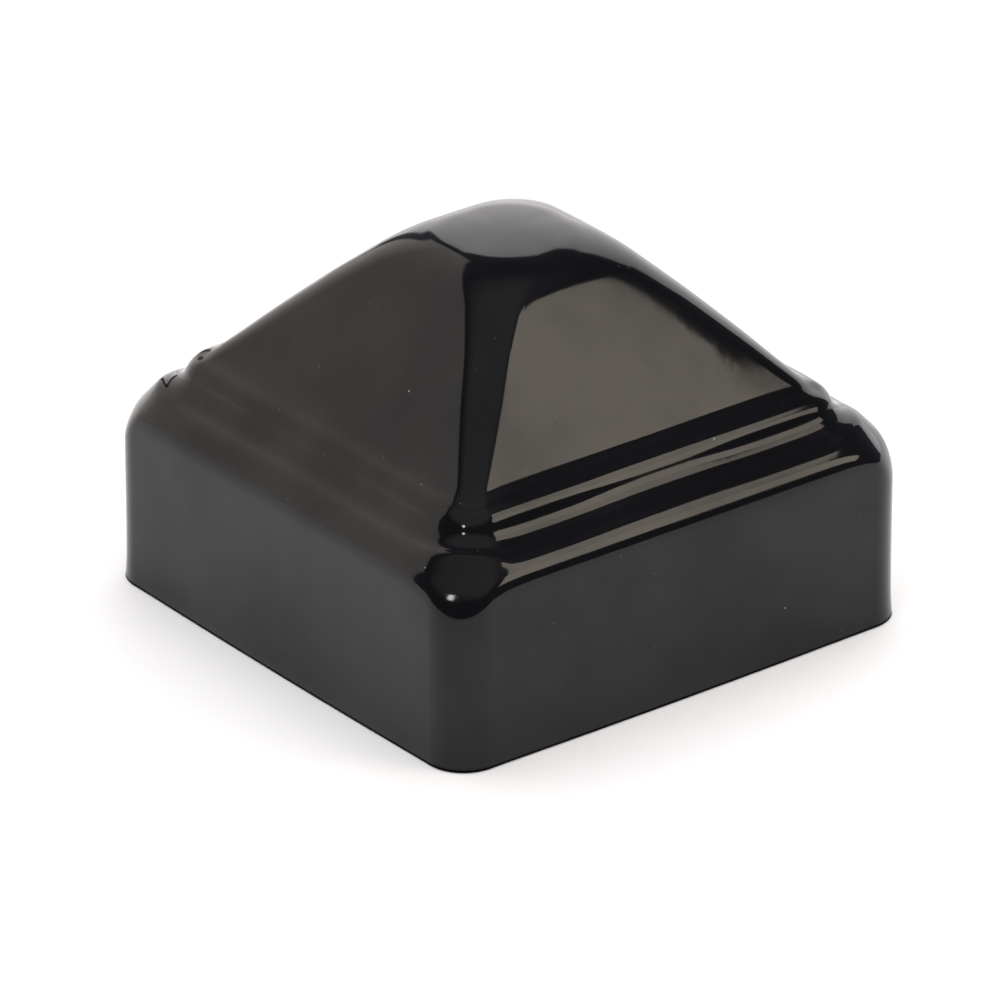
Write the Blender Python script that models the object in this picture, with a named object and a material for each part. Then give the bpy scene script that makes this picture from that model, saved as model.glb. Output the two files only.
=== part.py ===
"""Push-on cap for a nominal 2 inch (50.8 mm) square steel fence post.

The cap is a deep-drawn sheet-steel shell: a plain square skirt, a rounded shoulder, a soft groove,
a bead, and a four-sided pyramid with a small domed flat on top. Four spring-steel clips, one on each
inner wall, grip the post. Each clip is spot welded by its foot just above the mouth and leans
inward as it rises, so that a post slides in past it and the free edges hold against lifting.

Frame: origin at the centre of the open rim, +Z up through the top of the pyramid.
"""

import bpy
from math import cos, pi, radians, sin

MM = 0.001

# Shell, in millimetres.
SIDE = 55.0                # outer width across the skirt
WALL = 1.0                 # coated sheet thickness
RIM_BAND = 1.0             # band above the rim that keeps one corner radius
PLUMB_HEIGHT = 13.6        # the skirt stands plumb to just above the grip clips
SKIRT_HEIGHT = 17.1        # and then draws in slightly up to here
DRAFT_SLOPE = 89.5         # degrees above level, of the drawn-in band
SHOULDER_RADIUS = 3.64
SHOULDER_END_SLOPE = 20.0  # degrees above level, where the shoulder runs into the groove
GROOVE_RADIUS = 3.4
BEAD_SIDE_SLOPE = 66.0     # the steepest part between groove and bead
BEAD_RADIUS = 3.0
LEDGE_SLOPE = 24.5         # the flattest part between bead and cove
COVE_RADIUS = 4.8
FLANK_FOOT_SLOPE = 49.4    # pyramid face at its foot
FLANK_TOP_SLOPE = 45.7     # pyramid face just under the crown
FLANK_RADIUS = 230.0       # the faces bulge very slightly
CROWN_EDGE_RADIUS = 7.8    # the faces roll over broadly into the flat
CROWN_EDGE_SLOPE = 6.3     # slope where the edge meets the domed flat
CORNER_SEGMENTS = 6        # facets round each corner in plan
SIDE_SPLIT = 0.7           # share of each straight side between its two inner points

# Rounding of the four corners in plan, as (height, radius); straight lines between.
CORNER_RADII = [
    (0.0, 3.9), (RIM_BAND, 3.9), (PLUMB_HEIGHT, 4.5), (SKIRT_HEIGHT, 4.8), (19.8, 7.0), (21.0, 6.4),
    (22.3, 4.2), (23.5, 2.6), (24.6, 2.4), (26.5, 3.0), (35.0, 3.3), (37.0, 4.2), (38.5, 5.1),
]

# Grip clips, in millimetres.
LEAF = 0.4                 # spring-steel strip thickness
CLIP_WIDTH = 22.0
CLIP_SLOT = 3.0            # slot that splits the blade into two fingers
FOOT_BOTTOM = 2.0
HINGE_HEIGHT = 5.2         # the bend, about which the blade flexes
SLOT_BOTTOM = 6.4
BLADE_TOP = 13.0
BEND_REACH = 0.8           # length of the bend on either side of the hinge height
WALL_GAP = 0.3             # weld gap between the foot and the wall
GRIP_HALF_WIDTH = 24.9     # inner face of the free edges, from the cap's axis

HALF = SIDE / 2
FOOT_CENTRE = HALF - WALL - WALL_GAP - LEAF / 2
EDGE_CENTRE = GRIP_HALF_WIDTH + LEAF / 2


def clear_scene():
    for obj in list(bpy.data.objects):
        bpy.data.objects.remove(obj, do_unlink=True)


def make_material(name, colour, roughness, metallic, coat=0.0):
    material = bpy.data.materials.new(name)
    material.use_nodes = True
    shader = material.node_tree.nodes["Principled BSDF"]
    shader.inputs["Base Color"].default_value = (*colour, 1.0)
    shader.inputs["Roughness"].default_value = roughness
    shader.inputs["Metallic"].default_value = metallic
    shader.inputs["Coat Weight"].default_value = coat
    material.diffuse_color = (*colour, 1.0)
    return material


def interpolate(table, x):
    """Value of a piecewise-linear (x, value) table, held constant past its ends."""
    if x <= table[0][0]:
        return table[0][1]
    for (x0, v0), (x1, v1) in zip(table, table[1:]):
        if x <= x1:
            return v0 + (v1 - v0) * (x - x0) / (x1 - x0)
    return table[-1][1]


class ProfileWalk:
    """Walks up the middle of one side of the shell: half width against height."""

    def __init__(self, half_width):
        self.points = [(half_width, 0.0)]
        self.slope = 90.0

    def rise_to(self, height, slope=90.0):
        width, z = self.points[-1]
        self.points.append((width - (height - z) * cos(radians(slope)), height))
        self.slope = slope

    def turn(self, radius, slope, steps):
        """Follow an arc until the surface has this slope, in degrees above level."""
        start = self.slope
        for step in range(1, steps + 1):
            before = radians(start + (slope - start) * (step - 1) / steps)
            after = radians(start + (slope - start) * step / steps)
            width, z = self.points[-1]
            self.points.append((width - radius * abs(sin(before) - sin(after)),
                                z + radius * abs(cos(after) - cos(before))))
        self.slope = slope

    def dome(self, steps):
        """Close gently onto the axis from the current slope; the last point is the crown."""
        width, z = self.points[-1]
        radius = width / sin(radians(self.slope))
        for step in range(1, steps + 1):
            angle = radians(self.slope * (steps - step) / steps)
            self.points.append((radius * sin(angle),
                                z + radius * (cos(angle) - cos(radians(self.slope)))))


def shell_profile():
    walk = ProfileWalk(HALF)
    walk.rise_to(RIM_BAND)
    walk.rise_to(PLUMB_HEIGHT)
    walk.rise_to(SKIRT_HEIGHT, DRAFT_SLOPE)
    walk.turn(SHOULDER_RADIUS, SHOULDER_END_SLOPE, 6)
    walk.turn(GROOVE_RADIUS, BEAD_SIDE_SLOPE, 3)
    walk.turn(BEAD_RADIUS, LEDGE_SLOPE, 3)
    walk.turn(COVE_RADIUS, FLANK_FOOT_SLOPE, 3)
    walk.turn(FLANK_RADIUS, FLANK_TOP_SLOPE, 3)
    walk.turn(CROWN_EDGE_RADIUS, CROWN_EDGE_SLOPE, 5)
    walk.dome(3)
    return walk.points


def rounded_square(half_width, corner_radius, z):
    """Points anticlockwise round a rounded square; each straight side is split in three."""
    radius = min(corner_radius, 0.6 * half_width)
    straight = half_width - radius
    points = []
    for quarter in range(4):
        start = quarter * pi / 2
        ux, uy = cos(start), sin(start)
        for along in (-SIDE_SPLIT * straight, SIDE_SPLIT * straight):
            points.append((half_width * ux - along * uy, half_width * uy + along * ux, z))
        cx, cy = straight * (ux - uy), straight * (ux + uy)
        for step in range(CORNER_SEGMENTS + 1):
            angle = start + pi / 2 * step / CORNER_SEGMENTS
            points.append((cx + radius * cos(angle), cy + radius * sin(angle), z))
    return points


def mesh_object(name, vertices, faces, material, origin=(0.0, 0.0, 0.0)):
    """Object from millimetre vertices, with its origin at the given millimetre point."""
    mesh = bpy.data.meshes.new(name)
    moved = [[(v - o) * MM for v, o in zip(vertex, origin)] for vertex in vertices]
    mesh.from_pydata(moved, [], faces)
    mesh.materials.append(material)
    mesh.validate()
    obj = bpy.data.objects.new(name, mesh)
    obj.location = [o * MM for o in origin]
    bpy.context.scene.collection.objects.link(obj)
    return obj


def add_solidify(obj, thickness, offset):
    solidify = obj.modifiers.new("sheet thickness", "SOLIDIFY")
    solidify.thickness = thickness * MM
    solidify.offset = offset
    solidify.use_even_offset = True
    solidify.use_quality_normals = True


def build_shell(material):
    """The outer skin as a loft of rounded squares, thickened inward to the sheet's gauge."""
    profile = shell_profile()
    vertices, faces = [], []
    for width, z in profile[:-1]:
        vertices += rounded_square(width, interpolate(CORNER_RADII, z), z)
    count = 4 * (CORNER_SEGMENTS + 3)
    rings = len(profile) - 1
    for ring in range(rings - 1):
        low, high = ring * count, (ring + 1) * count
        for i in range(count):
            j = (i + 1) % count
            faces.append((low + i, low + j, high + j, high + i))
    crown = len(vertices)
    vertices.append((0.0, 0.0, profile[-1][1]))
    last = (rings - 1) * count
    faces += [(last + i, last + (i + 1) % count, crown) for i in range(count)]
    shell = mesh_object("cap_shell", vertices, faces, material)
    add_solidify(shell, WALL, -1.0)
    shell.data.shade_smooth()
    shell.data.set_sharp_from_angle(angle=radians(50))
    return shell


def clip_centreline():
    """(distance from the cap's axis, height) along the strip, bent smoothly at the hinge."""
    lean = (FOOT_CENTRE - EDGE_CENTRE) / (BLADE_TOP - HINGE_HEIGHT)
    points = [(FOOT_CENTRE, FOOT_BOTTOM), (FOOT_CENTRE, HINGE_HEIGHT - BEND_REACH)]
    for step in range(1, 4):
        t = step / 4
        z = HINGE_HEIGHT + BEND_REACH * (2 * t - 1)
        points.append((FOOT_CENTRE - lean * BEND_REACH * t * t, z))
    for z in (HINGE_HEIGHT + BEND_REACH, SLOT_BOTTOM, BLADE_TOP):
        points.append((FOOT_CENTRE - lean * (z - HINGE_HEIGHT), z))
    return points


def build_clip(name, quarter, material):
    """One strip clip on the wall that faces quarter * 90 degrees round from +X."""
    path = clip_centreline()
    columns = (-CLIP_WIDTH / 2, -CLIP_SLOT / 2, CLIP_SLOT / 2, CLIP_WIDTH / 2)
    ux, uy = cos(quarter * pi / 2), sin(quarter * pi / 2)
    vertices = [(out * ux - along * uy, out * uy + along * ux, z)
                for out, z in path for along in columns]
    faces = []
    for row, (_, z) in enumerate(path[:-1]):
        for column in range(3):
            if column == 1 and z >= SLOT_BOTTOM:
                continue
            corner = row * 4 + column
            faces.append((corner, corner + 4, corner + 5, corner + 1))
    hinge = (FOOT_CENTRE * ux, FOOT_CENTRE * uy, HINGE_HEIGHT)
    clip = mesh_object(name, vertices, faces, material, hinge)
    add_solidify(clip, LEAF, 0.0)
    clip.data.shade_smooth()
    clip.data.set_sharp_from_angle(angle=radians(30))
    return clip


def main():
    clear_scene()
    coating = make_material("black_gloss_coating", (0.010, 0.010, 0.011), 0.10, 0.0, coat=0.5)
    spring_steel = make_material("spring_steel", (0.46, 0.46, 0.45), 0.34, 1.0)
    build_shell(coating)
    for quarter, side in enumerate(("right", "back", "left", "front")):
        build_clip("grip_clip_" + side, quarter, spring_steel)


main()
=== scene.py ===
"""Looks of the square fence post cap.

A gloss-black coated pressed-steel shell with four spring-steel clips inside it.
"""

import bpy
import math
from math import cos, pi, radians, sin
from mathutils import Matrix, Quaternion, Vector, noise


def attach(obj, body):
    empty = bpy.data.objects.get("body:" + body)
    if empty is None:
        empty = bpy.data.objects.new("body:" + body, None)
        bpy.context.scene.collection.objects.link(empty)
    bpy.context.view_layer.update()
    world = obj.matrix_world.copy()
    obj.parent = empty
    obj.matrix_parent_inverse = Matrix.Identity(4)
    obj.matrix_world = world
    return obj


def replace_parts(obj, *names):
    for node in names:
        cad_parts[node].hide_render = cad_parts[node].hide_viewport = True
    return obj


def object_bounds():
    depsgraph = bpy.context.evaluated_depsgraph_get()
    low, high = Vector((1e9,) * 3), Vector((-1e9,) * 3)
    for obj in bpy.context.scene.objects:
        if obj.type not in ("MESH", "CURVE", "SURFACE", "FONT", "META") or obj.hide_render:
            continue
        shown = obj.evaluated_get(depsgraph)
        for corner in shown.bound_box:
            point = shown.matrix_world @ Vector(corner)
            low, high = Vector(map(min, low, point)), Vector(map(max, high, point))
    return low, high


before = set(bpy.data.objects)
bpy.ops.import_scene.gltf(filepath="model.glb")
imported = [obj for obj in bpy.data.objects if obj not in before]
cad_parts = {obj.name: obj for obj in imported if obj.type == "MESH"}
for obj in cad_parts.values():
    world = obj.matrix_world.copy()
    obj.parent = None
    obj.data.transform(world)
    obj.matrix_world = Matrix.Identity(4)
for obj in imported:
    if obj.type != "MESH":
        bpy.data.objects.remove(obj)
CAD_LOW, CAD_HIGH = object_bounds()

MM = 0.001
HALF = CAD_HIGH.x / MM          # half the outer width of the skirt, in millimetres

# ---- shell, in millimetres and degrees ----
WALL = 1.0
RIM_ROUND = 0.18                # the trimmed edge is slightly broken on both sides
PLUMB_HEIGHT = 13.6
SKIRT_HEIGHT = 17.1
DRAFT_SLOPE = 89.5
SHOULDER_RADIUS, SHOULDER_END_SLOPE = 3.64, 20.0
GROOVE_RADIUS, BEAD_SIDE_SLOPE = 3.4, 66.0
BEAD_RADIUS, LEDGE_SLOPE = 3.0, 24.5
COVE_RADIUS, FLANK_FOOT_SLOPE = 4.8, 49.4
FLANK_RADIUS, FLANK_TOP_SLOPE = 230.0, 45.7
CROWN_EDGE_RADIUS, CROWN_EDGE_SLOPE = 7.8, 6.3
CROWN_RISE = 0.003              # the middle of the crown above the last ring
BEAD_TOP, PYRAMID_FOOT = 23.6, 24.6     # heights between which a row's corner becomes the ridge's
RIDGE_RADII = [                 # (height, corner radius in plan) of the pyramid
    (24.5, 2.1), (26.5, 2.6), (30.0, 3.1), (33.0, 3.3), (36.0, 4.2), (38.5, 6.2),
]

# The same skin over a corner, measured out from the axis along the diagonal. The shoulder starts
# lower and runs up straight to a lip, inside which the groove is nearly level.
CORNER_REACH = 37.05
CORNER_SKIRT_HEIGHT = 14.5
CORNER_SHOULDER_RADIUS, CORNER_SLANT = 6.1, 50.0
CORNER_SLANT_TOP = 20.4
LIP_RADIUS, LIP_END_SLOPE = 1.5, 4.0
CORNER_GROOVE_RADIUS, CORNER_BEAD_SIDE_SLOPE = 2.2, 66.0
CORNER_BEAD_RADIUS, CORNER_LEDGE_SLOPE = 2.5, 22.0
HALF_ARC = 3.5                  # from the middle of a corner to where a side starts, along the skin
CORNER_SPREAD = 3.2             # how far along the skin the corner's shape reaches

# How far the skin stands off the plain profile.
GROOVE_DEEPER, BEAD_SHARE = 0.12, 0.85  # towards the corners, and the bead's share of it
GROOVE_HEIGHT, GROOVE_SPAN = 20.9, 0.9
BEAD_HEIGHT, BEAD_SPAN = 23.1, 0.8
FLANK_SWELL, RIDGE_HOLLOW, RIDGE_FALL = 0.24, 0.11, 2.0
SKIRT_SWELL, SKIRT_SWELL_TOP = 0.22, 12.0
FOOT_FLARE, FOOT_FLARE_FALL = 0.20, 1.6 # at the corners, just above the rim
WAVER, WAVER_SCALE = 0.02, 0.09         # slow unevenness of the drawn skin
RAGGED, RAGGED_SCALE = 0.035, 0.8       # unevenness of the trimmed edge
TIGHTEST_INSIDE, NARROWEST_INSIDE = 0.8, 0.05   # limits of the inner skin's rings

RIM_STEPS = 4
SIDE_STEPS = 34                 # columns along each straight side
CORNER_STEPS = 18               # columns round each corner
COVE_STEPS = 8
ROUNDEST = 0.8                  # largest corner radius, as a share of the half width
SHARPER = 0.2                   # each row's corner is this much tighter than the diagonal asks
TIGHTEST, WIDEST = 2.1, 5.4     # limits of the corner radius below the pyramid
EVEN_OUT = 3                    # rows either side over which that radius is averaged

# ---- grip clips, in millimetres ----
LEAF = 0.4
CLIP_HALF, CLIP_ROUND = 11.0, 1.2
SLOT_HALF, SLOT_BOTTOM = 1.5, 6.4
FOOT_BOTTOM, HINGE_HEIGHT, BLADE_TOP = 2.0, 5.2, 13.0
BEND_REACH = 0.8
FOOT_OUT, EDGE_OUT = 26.0, 25.1 # the strip's middle plane at its foot and at its free edge
WELD_HEIGHT, WELD_SPACING = 3.3, 12.0
DIMPLE_DEPTH, DIMPLE_FLOOR, DIMPLE_EDGE = 0.12, 0.45, 0.95
DIMPLE_LIP, DIMPLE_LIP_OUT, DIMPLE_LIP_WIDTH = 0.05, 1.15, 0.2
CLIP_CAMBER = 0.12              # the blade's outer ends curl back towards the wall
CAMBER_START = 7.0
CLIP_COLUMNS, ROUND_STEPS = 34, 6
CLIP_ROW, CLIP_ROWS = 0.3, 32   # spacing of the rows up the blade, and the most there can be
BROKEN_EDGE = 0.05

# ---- camera ----
CAMERA_AZIMUTH = -38.0
CAMERA_ELEVATION = 27.0
CAMERA_DISTANCE = 0.917
VIEW_WIDTH = 0.0965             # what the frame spans at the cap's distance
AIM_RIGHT, AIM_UP = -0.0007, 0.0090

# ---- lights; azimuths are anticlockwise from +X ----
SOFTBOX_AZIMUTH, SOFTBOX_ELEVATION, SOFTBOX_ROLL = -56.0, 32.8, -35.6
SOFTBOX_DISTANCE = 1.5
SOFTBOX_PANELS = [              # (name, right, up, width, height, radiance)
    ("softbox_head", 0.0, 0.358, 0.325, 0.475, 3.6),
    ("softbox_foot", 0.13, -0.085, 0.66, 0.41, 4.1),
]
WARM, PALE_WARM, NEARLY_WHITE = (1.0, 0.89, 0.75), (1.0, 0.92, 0.84), (1.0, 0.97, 0.96)
SIDE_LAMP_AZIMUTH, SIDE_LAMP_ELEVATION, SIDE_LAMP_DISTANCE = -150, 36, 1.4
CEILING_AZIMUTH, CEILING_ELEVATION = -128, 75   # the pale patch in the room
CEILING_EDGE, CEILING_CORE = 45, 28             # degrees from the patch's middle
FLOOR_REACH, FLOOR_DROP = 4000, 0.00005         # millimetres, metres


def blend(x, low, high):
    """0 below low, 1 above high, and a smooth step between."""
    t = min(max((x - low) / (high - low), 0.0), 1.0)
    return t * t * (3 - 2 * t)


def bump(x, centre, width):
    return math.exp(-((x - centre) / width) ** 2)


def interpolate(table, x):
    if x <= table[0][0]:
        return table[0][1]
    for (x0, v0), (x1, v1) in zip(table, table[1:]):
        if x <= x1:
            return v0 + (v1 - v0) * (x - x0) / (x1 - x0)
    return table[-1][1]


class ProfileWalk:
    """Walks up the middle of one side: each station is (half width, height, slope above level)."""

    def __init__(self, half_width, height):
        self.stations = [(half_width, height, 90.0)]

    def rise_to(self, height, slope, steps):
        width, z, _ = self.stations[-1]
        for step in range(1, steps + 1):
            up = (height - z) * step / steps
            self.stations.append((width - up / math.tan(radians(slope)), z + up, slope))

    def turn(self, radius, slope, steps):
        start = self.stations[-1][2]
        for step in range(1, steps + 1):
            before = radians(start + (slope - start) * (step - 1) / steps)
            after = start + (slope - start) * step / steps
            width, z, _ = self.stations[-1]
            self.stations.append((width - radius * abs(sin(before) - sin(radians(after))),
                                  z + radius * abs(cos(radians(after)) - cos(before)), after))

    def dome(self, steps):
        """Close gently towards the axis; the last station is just short of it."""
        width, z, slope = self.stations[-1]
        radius = width / sin(radians(slope))
        for step in range(1, steps):
            here = slope * (steps - step) / steps
            self.stations.append((radius * sin(radians(here)),
                                  z + radius * (cos(radians(here)) - cos(radians(slope))), here))


def side_stations():
    walk = ProfileWalk(HALF, RIM_ROUND)
    walk.rise_to(PLUMB_HEIGHT, 90.0, 12)
    walk.rise_to(SKIRT_HEIGHT, DRAFT_SLOPE, 3)
    walk.turn(SHOULDER_RADIUS, SHOULDER_END_SLOPE, 18)
    walk.turn(GROOVE_RADIUS, BEAD_SIDE_SLOPE, 12)
    walk.turn(BEAD_RADIUS, LEDGE_SLOPE, 12)
    walk.turn(COVE_RADIUS, FLANK_FOOT_SLOPE, COVE_STEPS)
    walk.turn(FLANK_RADIUS, FLANK_TOP_SLOPE, 18)
    walk.turn(CROWN_EDGE_RADIUS, CROWN_EDGE_SLOPE, 16)
    walk.dome(8)
    return walk.stations


def corner_stations(side):
    """One (reach, height) for each station of the side's profile, along the diagonal."""
    walk = ProfileWalk(CORNER_REACH, RIM_ROUND)
    walk.rise_to(CORNER_SKIRT_HEIGHT, 90.0, 15)
    walk.turn(CORNER_SHOULDER_RADIUS, CORNER_SLANT, 10)
    walk.rise_to(CORNER_SLANT_TOP, CORNER_SLANT, 3)
    walk.turn(LIP_RADIUS, LIP_END_SLOPE, 5)
    walk.turn(CORNER_GROOVE_RADIUS, CORNER_BEAD_SIDE_SLOPE, 12)
    walk.turn(CORNER_BEAD_RADIUS, CORNER_LEDGE_SLOPE, 12)
    corner = [(reach, z) for reach, z, _ in walk.stations]
    ridge = [(diagonal_reach(width, interpolate(RIDGE_RADII, z)), z) for width, z, _ in side]
    last = len(corner) - 1
    away = [a - b for a, b in zip(corner[last], ridge[last])]
    for step, (reach, z) in enumerate(ridge[last + 1:], 1):
        fade = 1 - blend(step / COVE_STEPS, 0.0, 1.0)
        corner.append((reach + fade * away[0], z + fade * away[1]))
    return corner


def diagonal_reach(width, radius):
    """How far a rounded square of this half width and corner radius goes along its diagonal."""
    radius = min(radius, ROUNDEST * width)
    return (width - radius) * math.sqrt(2) + radius


def plan_radii(side, corner):
    """Corner radius of each row, from what its diagonal asks for, evened out up to the pyramid."""
    root = math.sqrt(2)
    radii = []
    for (width, z, _), (reach, _) in zip(side, corner):
        asked = (width * root - reach) / (root - 1)
        ridge = interpolate(RIDGE_RADII, z)
        below = min(max(asked - SHARPER, TIGHTEST), WIDEST)
        radii.append(below + (ridge - below) * blend(z, BEAD_TOP, PYRAMID_FOOT))
    even = []
    for i in range(len(radii)):
        near = radii[max(i - EVEN_OUT, 0):i + EVEN_OUT + 1]
        even.append(sum(near) / len(near))
    return even


def rim_stations():
    """From the inner wall round the trimmed edge to the outer wall."""
    inner = HALF - WALL
    stations = []
    for step in range(RIM_STEPS + 1):
        angle = pi / 2 * step / RIM_STEPS
        stations.append((inner + RIM_ROUND * (1 - cos(angle)), RIM_ROUND * (1 - sin(angle))))
    for step in range(RIM_STEPS):
        angle = pi / 2 * step / RIM_STEPS
        stations.append((HALF - RIM_ROUND * (1 - sin(angle)), RIM_ROUND * (1 - cos(angle))))
    return stations


def ring_frame(half_width, corner_radius):
    """Points round a rounded square as (x, y, outward x, outward y, place, from_corner).

    place runs from -1 to 1 along a side; from_corner is the distance to the middle of a corner.
    """
    radius = min(corner_radius, ROUNDEST * half_width)
    straight = half_width - radius
    ring = []
    for quarter in range(4):
        start = quarter * pi / 2
        ux, uy = cos(start), sin(start)
        for step in range(SIDE_STEPS):
            place = sin(pi / 2 * (2 * step / SIDE_STEPS - 1))
            along = place * straight
            from_corner = HALF_ARC + (1 - abs(place)) * straight
            ring.append((half_width * ux - along * uy, half_width * uy + along * ux,
                         ux, uy, place, from_corner))
        cx, cy = straight * (ux - uy), straight * (ux + uy)
        for step in range(CORNER_STEPS):
            t = step / CORNER_STEPS
            nx, ny = cos(start + pi / 2 * t), sin(start + pi / 2 * t)
            from_corner = HALF_ARC * abs(2 * t - 1)
            ring.append((cx + radius * nx, cy + radius * ny, nx, ny, 1.0, from_corner))
    return ring


def nearness(from_corner):
    """1 in the middle of a corner, falling smoothly to 0 along the sides."""
    return math.exp(-(from_corner / CORNER_SPREAD) ** 2)


def pressed_relief(z, place, from_corner):
    """How far the skin stands off the plain profile, in millimetres."""
    corner = nearness(from_corner)
    towards_corner = blend(abs(place), 0.15, 0.6) * (1 - corner)
    groove = bump(z, GROOVE_HEIGHT, GROOVE_SPAN)
    bead = BEAD_SHARE * bump(z, BEAD_HEIGHT, BEAD_SPAN)
    out = GROOVE_DEEPER * towards_corner * (bead - groove)
    flank = blend(z, 24.5, 30.0)
    ridge = math.exp(-max(from_corner - HALF_ARC, 0.0) / RIDGE_FALL) * (1 - blend(z, 36.0, 38.2))
    out += flank * (FLANK_SWELL - RIDGE_HOLLOW * ridge)
    out += SKIRT_SWELL * (1 - blend(z, 0.0, SKIRT_SWELL_TOP)) * (1 - place * place)
    out += FOOT_FLARE * corner * math.exp(-z / FOOT_FLARE_FALL)
    return out


def skin_points(side_station, corner_station, plan_radius, inset=0.0):
    """One row of points round the skin, inset millimetres below its outer surface."""
    width, z, slope = side_station
    reach, corner_z = corner_station
    steep, level = sin(radians(slope)), cos(radians(slope))
    shift = reach - diagonal_reach(width, plan_radius)
    radius = max(plan_radius - inset * steep, TIGHTEST_INSIDE)
    ring = ring_frame(max(width - inset * steep, NARROWEST_INSIDE), radius)
    points = []
    for x, y, nx, ny, place, from_corner in ring:
        corner = nearness(from_corner)
        height = z + corner * (corner_z - z)
        out = corner * shift
        if inset == 0:
            waver = WAVER * noise.noise(Vector((x, y, z)) * WAVER_SCALE) * blend(z, 0.3, 3.0)
            relief = pressed_relief(height, place, from_corner) + waver
            out += relief * steep
            height += relief * level
        points.append((x + out * nx, y + out * ny, height - inset * level))
    return points


def rim_points(width, z, plan_radius):
    """One row of points round the trimmed edge."""
    shift = CORNER_REACH - diagonal_reach(HALF, plan_radius)
    points = []
    ring = ring_frame(width, plan_radius - HALF + width)
    for x, y, nx, ny, place, from_corner in ring:
        out = pressed_relief(0, place, from_corner) + nearness(from_corner) * shift
        ragged = RAGGED * noise.noise(Vector((x, y, 0)) * RAGGED_SCALE) * (1 - z / RIM_ROUND)
        points.append((x + out * nx, y + out * ny, z + abs(ragged)))
    return points


def build_shell(material):
    """Inner skin from crown to rim, the trimmed edge, then the outer skin up to the crown."""
    side = side_stations()
    corner = corner_stations(side)
    skin = list(zip(side, corner, plan_radii(side, corner)))
    rows = [skin_points(*stations, inset=WALL) for stations in reversed(skin)]
    rows += [rim_points(width, z, skin[0][2]) for width, z in rim_stations()]
    rows += [skin_points(*stations) for stations in skin]
    vertices = [point for row in rows for point in row]
    columns = len(rows[0])
    faces = []
    for low in range(0, (len(rows) - 1) * columns, columns):
        for i in range(columns):
            j = (i + 1) % columns
            faces.append((low + i, low + j, low + columns + j, low + columns + i))
    for row, first, order in ((rows[0], 0, -1), (rows[-1], len(vertices) - columns, 1)):
        centre = len(vertices)
        vertices.append((0.0, 0.0, sum(z for _, _, z in row) / columns + CROWN_RISE))
        for i in range(columns):
            edge = (first + i, first + (i + 1) % columns)
            faces.append((*edge[::order], centre))
    return add_mesh("coated_shell", vertices, faces, material)


def add_mesh(name, vertices, faces, material):
    mesh = bpy.data.meshes.new(name)
    mesh.from_pydata([[v * MM for v in vertex] for vertex in vertices], [], faces)
    mesh.materials.append(material)
    mesh.shade_smooth()
    obj = bpy.data.objects.new(name, mesh)
    bpy.context.scene.collection.objects.link(obj)
    return obj


# ---- grip clips ----

def clip_heights():
    """Heights of the strip's rows, closer together where a corner or the slot's end is round."""
    turns = [pi / 2 * step / ROUND_STEPS for step in range(ROUND_STEPS + 1)]
    heights = [FOOT_BOTTOM + CLIP_ROUND * (1 - cos(turn)) for turn in turns[:-1]]
    heights += [FOOT_BOTTOM + CLIP_ROUND + CLIP_ROW * step for step in range(CLIP_ROWS)]
    heights = [z for z in heights if z < BLADE_TOP - CLIP_ROUND - 0.1]
    heights += [BLADE_TOP - CLIP_ROUND * (1 - sin(turn)) for turn in turns]
    heights += [SLOT_BOTTOM + SLOT_HALF * (1 - cos(turn)) for turn in turns]
    return sorted(heights)


def clip_path():
    """(distance from the axis, height) up the middle of the strip, smooth through the bend."""
    lean = (FOOT_OUT - EDGE_OUT) / (BLADE_TOP - HINGE_HEIGHT)
    path = []
    for z in clip_heights():
        past = z - (HINGE_HEIGHT - BEND_REACH)
        if past >= 2 * BEND_REACH:
            out = FOOT_OUT - lean * (z - HINGE_HEIGHT)
        else:
            out = FOOT_OUT - lean * max(past, 0.0) ** 2 / (4 * BEND_REACH)
        path.append((out, z))
    return path


def rounding(distance, radius):
    """How far a corner of this radius cuts in, at a distance from the end of a strip."""
    short = max(radius - distance, 0.0)
    return radius - math.sqrt(max(radius * radius - short * short, 0.0))


def clip_edges(z):
    """(inner, outer) distance of a finger's edges from the strip's middle line."""
    cut = rounding(min(z - FOOT_BOTTOM, BLADE_TOP - z), CLIP_ROUND)
    if z <= SLOT_BOTTOM + 1e-6:
        return 0.0, CLIP_HALF - cut
    slot = SLOT_HALF - rounding(z - SLOT_BOTTOM, SLOT_HALF)
    return slot + rounding(BLADE_TOP - z, CLIP_ROUND), CLIP_HALF - cut


def weld_dimple(along, z):
    """How far a spot weld presses the foot towards the wall, with a low lip round it."""
    away = math.hypot(abs(along) - WELD_SPACING / 2, z - WELD_HEIGHT)
    lip = DIMPLE_LIP * bump(away, DIMPLE_LIP_OUT, DIMPLE_LIP_WIDTH)
    return DIMPLE_DEPTH * (1 - blend(away, DIMPLE_FLOOR, DIMPLE_EDGE)) - lip


def camber(along, z):
    return CLIP_CAMBER * (along / CLIP_HALF) ** 2 * blend(z, CAMBER_START, BLADE_TOP)


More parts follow.
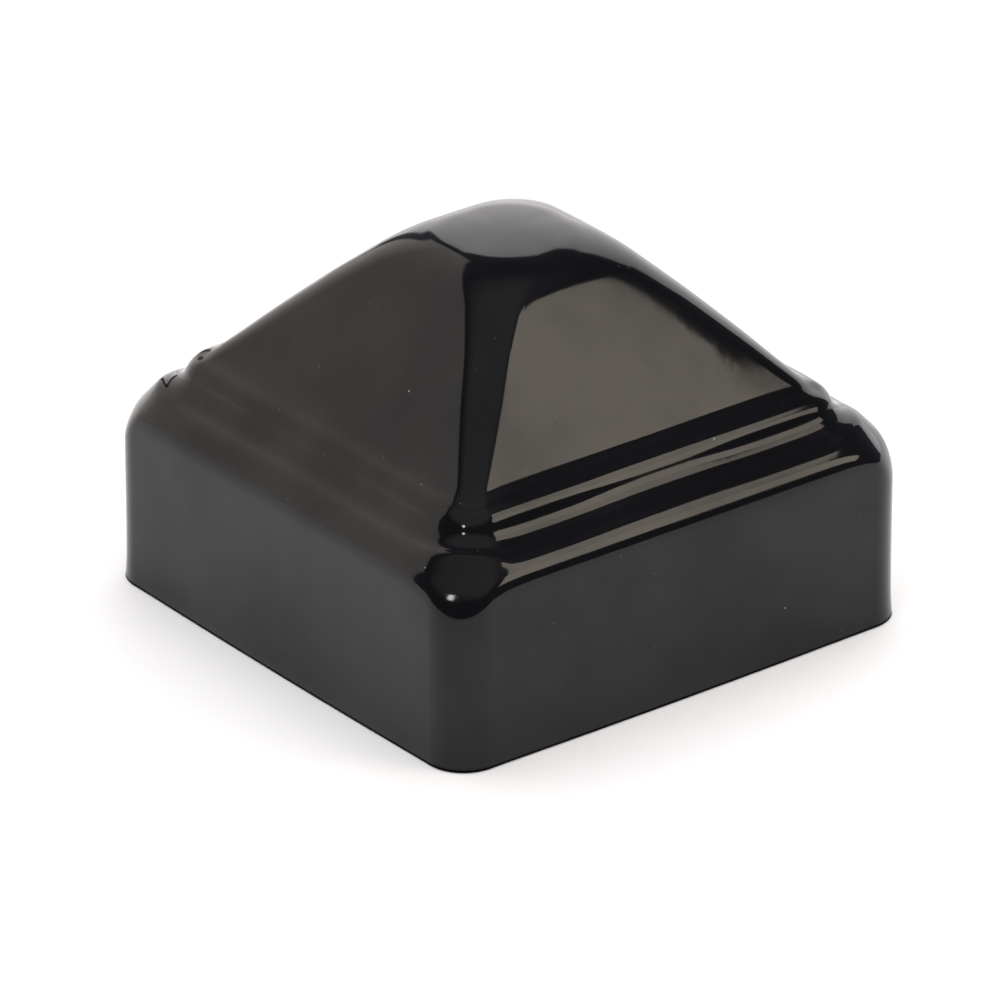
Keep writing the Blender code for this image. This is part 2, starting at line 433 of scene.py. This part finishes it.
def build_clip(name, quarter, material):
    """A slotted strip with rounded corners, spot welded by its foot, leaning in from the wall."""
    ux, uy = cos(quarter * pi / 2), sin(quarter * pi / 2)
    vertices, faces, index = [], [], {}

    def vertex(along, out, z):
        key = (round(along, 4), round(z, 4))
        if key not in index:
            out += weld_dimple(along, z) + camber(along, z)
            index[key] = len(vertices)
            vertices.append((out * ux - along * uy, out * uy + along * ux, z))
        return index[key]

    rows = []
    for out, z in clip_path():
        inner, outer = clip_edges(z)
        steps = range(CLIP_COLUMNS + 1)
        across = [inner + (outer - inner) * step / CLIP_COLUMNS for step in steps]
        rows.append([[vertex(side * along, out, z) for along in across] for side in (1, -1)])
    for low, high in zip(rows, rows[1:]):
        for side in (0, 1):
            for i in range(CLIP_COLUMNS):
                corners = (low[side][i], low[side][i + 1], high[side][i + 1], high[side][i])
                faces.append(corners[::1 if side else -1])
    clip = add_mesh(name, vertices, faces, material)
    sheet = clip.modifiers.new("sheet thickness", "SOLIDIFY")
    sheet.thickness = LEAF * MM
    sheet.offset = 0.0
    sheet.use_even_offset = True
    edge = clip.modifiers.new("broken edge", "BEVEL")
    edge.width = BROKEN_EDGE * MM
    edge.segments = 2
    edge.angle_limit = radians(50)
    return clip


def direction(azimuth, elevation):
    """Unit vector; azimuth in degrees anticlockwise from +X."""
    a, e = radians(azimuth), radians(elevation)
    return Vector((cos(a) * cos(e), sin(a) * cos(e), sin(e)))


# ---- materials ----

class Nodes:
    """The node tree of a material or world, with short calls to add and join nodes."""

    def __init__(self, owner, shader="Principled BSDF"):
        owner.use_nodes = True
        self.owner = owner
        self.tree = owner.node_tree
        self.shader = self.tree.nodes[shader]

    def add(self, kind, inputs=(), **properties):
        node = self.tree.nodes.new(kind)
        for key, value in properties.items():
            setattr(node, key, value)
        for socket, value in dict(inputs).items():
            if isinstance(value, bpy.types.NodeSocket):
                self.tree.links.new(value, node.inputs[socket])
            else:
                node.inputs[socket].default_value = value
        return node

    def math(self, operation, *values):
        return self.add("ShaderNodeMath", dict(enumerate(values)), operation=operation).outputs[0]

    def remap(self, value, low, high, to_low, to_high):
        inputs = {"Value": value, "From Min": low, "From Max": high,
                  "To Min": to_low, "To Max": to_high}
        return self.add("ShaderNodeMapRange", inputs).outputs["Result"]

    def noise(self, place, scale, detail=2.0):
        inputs = {"Vector": place, "Scale": scale, "Detail": detail}
        return self.add("ShaderNodeTexNoise", inputs).outputs["Fac"]

    def mix(self, factor, a, b):
        node = self.add("ShaderNodeMix", data_type="RGBA")
        for socket, value in ((0, factor), (6, a), (7, b)):
            if isinstance(value, bpy.types.NodeSocket):
                self.tree.links.new(value, node.inputs[socket])
            else:
                node.inputs[socket].default_value = value
        return node.outputs[2]

    def bump(self, height, distance, normal=None):
        inputs = {"Height": height, "Distance": distance, "Strength": 1.0}
        if normal is not None:
            inputs["Normal"] = normal
        return self.add("ShaderNodeBump", inputs).outputs["Normal"]

    def set(self, **values):
        for name, value in values.items():
            socket = self.shader.inputs[name.replace("_", " ").title().replace("Ior", "IOR")]
            if isinstance(value, bpy.types.NodeSocket):
                self.tree.links.new(value, socket)
            else:
                socket.default_value = value


def gloss_coating():
    """Black lacquer over steel, with a slight orange peel, haze and settled dust.

    Lengths here are in metres. Just above the trimmed rim a black, unreflecting band is painted
    shade standing for the contact shadow on the floor.
    """
    nodes = Nodes(bpy.data.materials.new("black_gloss_coating"))
    place = nodes.add("ShaderNodeTexCoord").outputs["Object"]
    wave = nodes.bump(nodes.noise(place, 230.0, 2.0), 0.000018)
    normal = nodes.bump(nodes.noise(place, 1100.0, 2.0), 0.0000018, wave)
    dust = nodes.math("MAXIMUM", speckle(nodes, place, 420.0, 0.93, 0.05),
                      nodes.math("MULTIPLY", speckle(nodes, place, 1000.0, 0.90, 0.08), 0.35))
    haze = nodes.noise(place, 90.0, 4.0)
    height = nodes.add("ShaderNodeSeparateXYZ", {0: place}).outputs[2]
    # Painted shade: from 0.45 mm down to the rim the coating fades to black mirror (metallic 1,
    # rough), a painted contact shadow; this mask and the dust specks both raise the roughness.
    painted_contact_shade = nodes.remap(height, 0.0002, 0.00045, 1.0, 0.0)
    dust_and_painted_shade = nodes.math("MAXIMUM", painted_contact_shade, nodes.math("MULTIPLY", dust, 0.7))
    nodes.set(base_color=nodes.mix(dust, (0.002, 0.002, 0.0026, 1), (0.32, 0.31, 0.29, 1)),
              metallic=nodes.math("MAXIMUM", painted_contact_shade, nodes.remap(haze, 0.4, 0.7, 0.0, 0.22)),
              roughness=nodes.math("MAXIMUM", dust_and_painted_shade, nodes.remap(haze, 0.35, 0.7, 0.05, 0.12)),
              ior=1.40, normal=normal)
    return nodes.owner


def speckle(nodes, place, scale, rarity, size):
    """Scattered round specks: 1 inside a speck, 0 elsewhere."""
    cells = nodes.add("ShaderNodeTexVoronoi", {"Vector": place, "Scale": scale})
    draw = nodes.add("ShaderNodeSeparateColor", {"Color": cells.outputs["Color"]}).outputs[0]
    near = nodes.remap(cells.outputs["Distance"], 0.5 * size, size, 1.0, 0.0)
    return nodes.math("MULTIPLY", nodes.math("GREATER_THAN", draw, rarity), near)


def spring_steel():
    """Bright rolled strip: fine grain along the roll, with a few duller clouds."""
    nodes = Nodes(bpy.data.materials.new("spring_steel"))
    place = nodes.add("ShaderNodeTexCoord").outputs["Object"]
    along = nodes.add("ShaderNodeMapping", {"Vector": place, "Scale": (1.0, 1.0, 14.0)}).outputs[0]
    grain = nodes.noise(along, 500.0, 3.0)
    clouds = nodes.noise(place, 180.0, 3.0)
    tone = nodes.math("ADD", nodes.math("MULTIPLY", grain, 0.6),
                      nodes.math("MULTIPLY", clouds, 0.4))
    nodes.set(base_color=nodes.mix(tone, (0.33, 0.33, 0.325, 1), (0.62, 0.61, 0.59, 1)),
              metallic=1.0, roughness=nodes.remap(tone, 0.35, 0.65, 0.24, 0.40),
              normal=nodes.bump(grain, 0.0000015))
    return nodes.owner


def pale_paper():
    nodes = Nodes(bpy.data.materials.new("pale_paper"))
    nodes.set(base_color=(0.82, 0.82, 0.82, 1), roughness=0.9,
              emission_color=(1.0, 0.99, 0.98, 1), emission_strength=0.15)
    return nodes.owner


def dim_room():
    """A dark studio with a soft pale patch on the ceiling, towards the camera's side."""
    nodes = Nodes(bpy.data.worlds.new("studio"), "Background")
    looking = nodes.add("ShaderNodeTexCoord").outputs["Generated"]
    middle = direction(CEILING_AZIMUTH, CEILING_ELEVATION)
    towards = nodes.add("ShaderNodeVectorMath", {0: looking, 1: middle}, operation="DOT_PRODUCT")
    patch = nodes.remap(towards.outputs["Value"],
                        cos(radians(CEILING_EDGE)), cos(radians(CEILING_CORE)), 0.0, 1.0)
    colour = nodes.mix(patch, (0.15, 0.145, 0.175, 1), (0.54, 0.51, 0.52, 1))
    nodes.tree.links.new(colour, nodes.shader.inputs["Color"])
    return nodes.owner


# ---- stage ----

def add_panel(name, centre, facing, width, height, radiance,
              colour=(1, 1, 1), roll=0.0, seen=True):
    """A flat soft light; facing points out of its front, sizes are in metres, roll in degrees."""
    light = bpy.data.lights.new(name, "AREA")
    light.shape = "RECTANGLE"
    light.size, light.size_y = width, height
    light.energy = radiance * pi * width * height
    light.color = colour
    lamp = bpy.data.objects.new(name, light)
    lamp.location = centre
    turn = (-facing).to_track_quat("Z", "Y") @ Quaternion((0, 0, 1), radians(roll))
    lamp.rotation_euler = turn.to_euler()
    lamp.visible_glossy = seen
    bpy.context.scene.collection.objects.link(lamp)


def add_wall(name, azimuth, distance, width, top, radiance, colour=(1, 1, 1)):
    """An upright panel standing on the floor, square to the line from the cap."""
    away = direction(azimuth, 0)
    add_panel(name, away * distance + Vector((0, 0, top / 2)), -away, width, top, radiance, colour)


def add_softbox():
    """A long soft panel leaning over the cap's front right, broader towards its foot."""
    away = direction(SOFTBOX_AZIMUTH, SOFTBOX_ELEVATION)
    turn = away.to_track_quat("Z", "Y") @ Quaternion((0, 0, 1), radians(SOFTBOX_ROLL))
    for name, x, y, width, height, radiance in SOFTBOX_PANELS:
        centre = away * SOFTBOX_DISTANCE + turn @ Vector((x, y, 0))
        add_panel(name, centre, -away, width, height, radiance, WARM, SOFTBOX_ROLL)


def build_stage():
    signs = ((-1, -1), (1, -1), (1, 1), (-1, 1))
    corners = [(FLOOR_REACH * x, FLOOR_REACH * y, 0) for x, y in signs]
    floor = add_mesh("floor", corners, [(0, 1, 2, 3)], pale_paper())
    floor.location.z = -FLOOR_DROP
    bpy.context.scene.world = dim_room()
    down = Vector((0, 0, -1))
    add_panel("overhead", Vector((0, 0, 1.8)), down, 3.4, 3.4, 1.35, seen=False)
    add_softbox()
    back = Vector((-0.51, 1.2, 0.75))
    add_panel("back_sweep", back, Vector((0, -1, 0)), 1.85, 1.5, 1.07, PALE_WARM)
    add_wall("back_softbox", 37, 1.3, 1.44, 1.17, 1.8, NEARLY_WHITE)
    lamp = direction(SIDE_LAMP_AZIMUTH, SIDE_LAMP_ELEVATION)
    add_panel("side_lamp", lamp * SIDE_LAMP_DISTANCE, -lamp, 0.10, 0.22, 22.0)


def build_camera():
    """Looks at a point above the middle of the rim, from the front left and above."""
    a, e = radians(CAMERA_AZIMUTH), radians(CAMERA_ELEVATION)
    back = Vector((sin(a) * cos(e), -cos(a) * cos(e), sin(e)))
    right = Vector((cos(a), sin(a), 0))
    up = back.cross(right)
    camera = bpy.data.cameras.new("camera")
    camera.lens = camera.sensor_width * CAMERA_DISTANCE / VIEW_WIDTH
    obj = bpy.data.objects.new("camera", camera)
    bpy.context.scene.collection.objects.link(obj)
    obj.location = back * CAMERA_DISTANCE
    aim = right * AIM_RIGHT + up * AIM_UP
    obj.rotation_euler = (obj.location - aim).to_track_quat("Z", "Y").to_euler()
    bpy.context.scene.camera = obj


def main():
    shell = build_shell(gloss_coating())
    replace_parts(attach(shell, "cap"), "cap_shell")
    steel = spring_steel()
    for quarter, side in enumerate(("right", "back", "left", "front")):
        clip = build_clip("spring_clip_" + side, quarter, steel)
        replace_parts(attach(clip, "clip_" + side), "grip_clip_" + side)
    build_stage()
    build_camera()
    bpy.context.scene.view_settings.view_transform = "Standard"


main()
